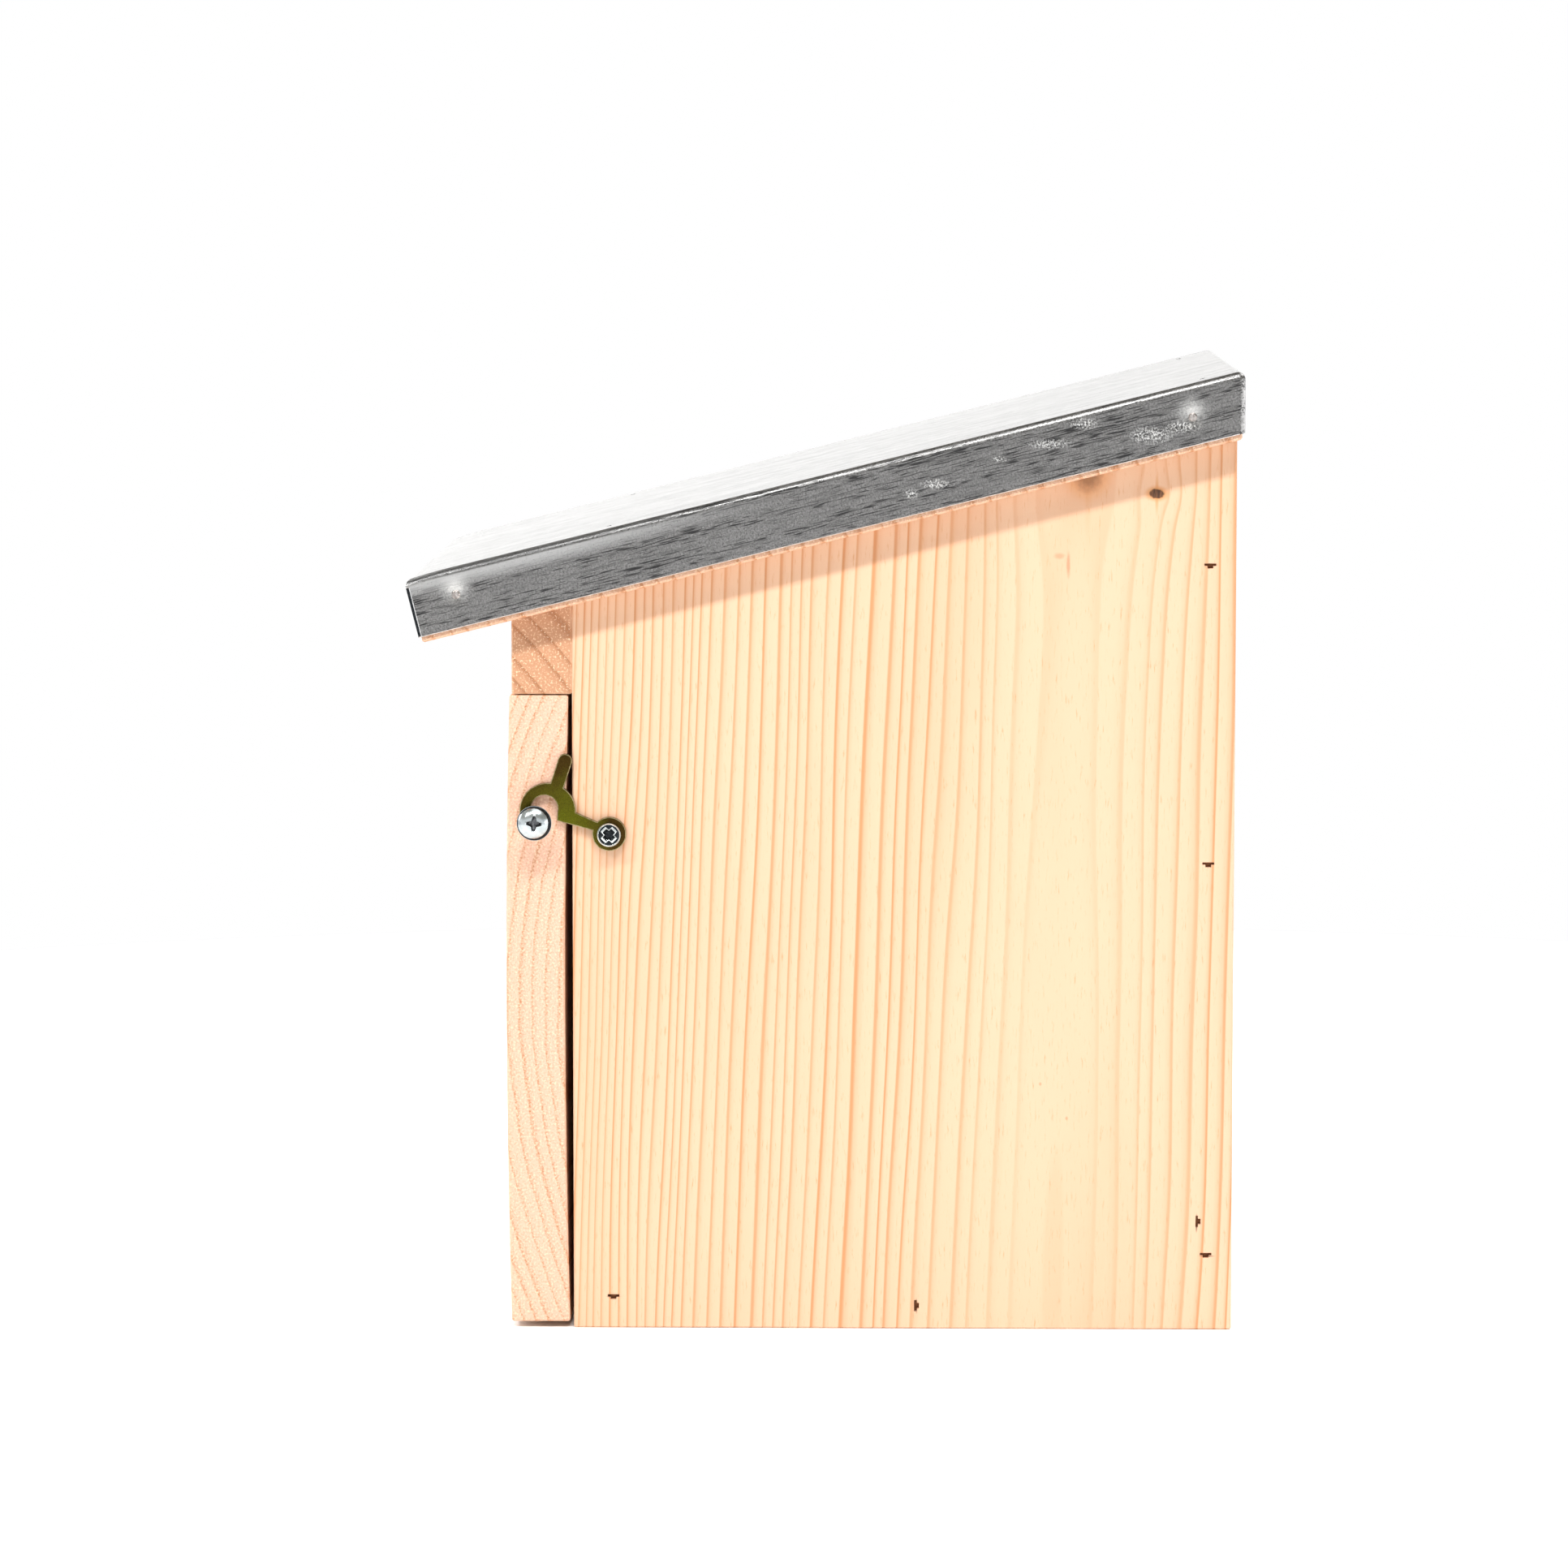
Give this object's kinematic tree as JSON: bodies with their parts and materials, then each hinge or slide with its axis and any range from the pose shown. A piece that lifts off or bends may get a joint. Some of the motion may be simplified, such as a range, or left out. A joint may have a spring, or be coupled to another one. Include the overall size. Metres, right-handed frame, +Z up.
{
  "type": "birdhouse",
  "caption": "Softwood nest box with a sloping roof board wrapped in folded zinc, a side-hung front door with an entrance hole and a pivoting hook latch.",
  "frame": {"origin": "middle of the base, on the plane that the box stands on, half way between the front and back edges of the side panels", "axes": "+Z up, -Y out of the door, +X towards the side with the hook latch"},
  "size_m": [0.1666, 0.2129, 0.2465],
  "materials": {
    "spruce": "planed, untreated",
    "zinc_sheet": "satin rolled zinc",
    "zinc_nail": "bright zinc plated",
    "brad_steel": "dull steel",
    "yellow_passivated": "yellow passivated, glossy",
    "bright_screw": "bright zinc plated"
  },
  "bodies": {
    "box": {"side_panel_right": "spruce", "side_panel_left": "spruce", "back_panel": "spruce", "floor_panel": "spruce", "front_rail": "spruce", "roof_board": "spruce", "roof_sheet": "zinc_sheet", "roof_edge_nails": "zinc_nail", "roof_top_nails": "zinc_nail", "side_brads_right": "brad_steel", "side_brads_left": "brad_steel", "rail_brads": "brad_steel", "hook_pivot_screw": "bright_screw", "upper_hinge_frame_leaf": "yellow_passivated", "upper_hinge_pin": "yellow_passivated", "lower_hinge_frame_leaf": "yellow_passivated", "lower_hinge_pin": "yellow_passivated", "hinge_frame_screws": "bright_screw"},
    "door": {"door_panel": "spruce", "keeper_screw": "bright_screw", "upper_hinge_door_leaf": "yellow_passivated", "lower_hinge_door_leaf": "yellow_passivated", "hinge_door_screws": "bright_screw"},
    "hook": {"hook_plate": "yellow_passivated"}
  },
  "joints": [
    {"name": "door_swing", "type": "hinge", "parent": "box", "child": "door", "pos_m": [-0.0772, -0.0851, 0.08263], "axis": [0, 0, -1], "range_deg": [0, 175]},
    {"name": "hook_lift", "type": "hinge", "parent": "box", "child": "hook", "pos_m": [0.07595, -0.0751, 0.12826], "axis": [-1, 0, 0], "range_deg": [0, 150]}
  ]
}
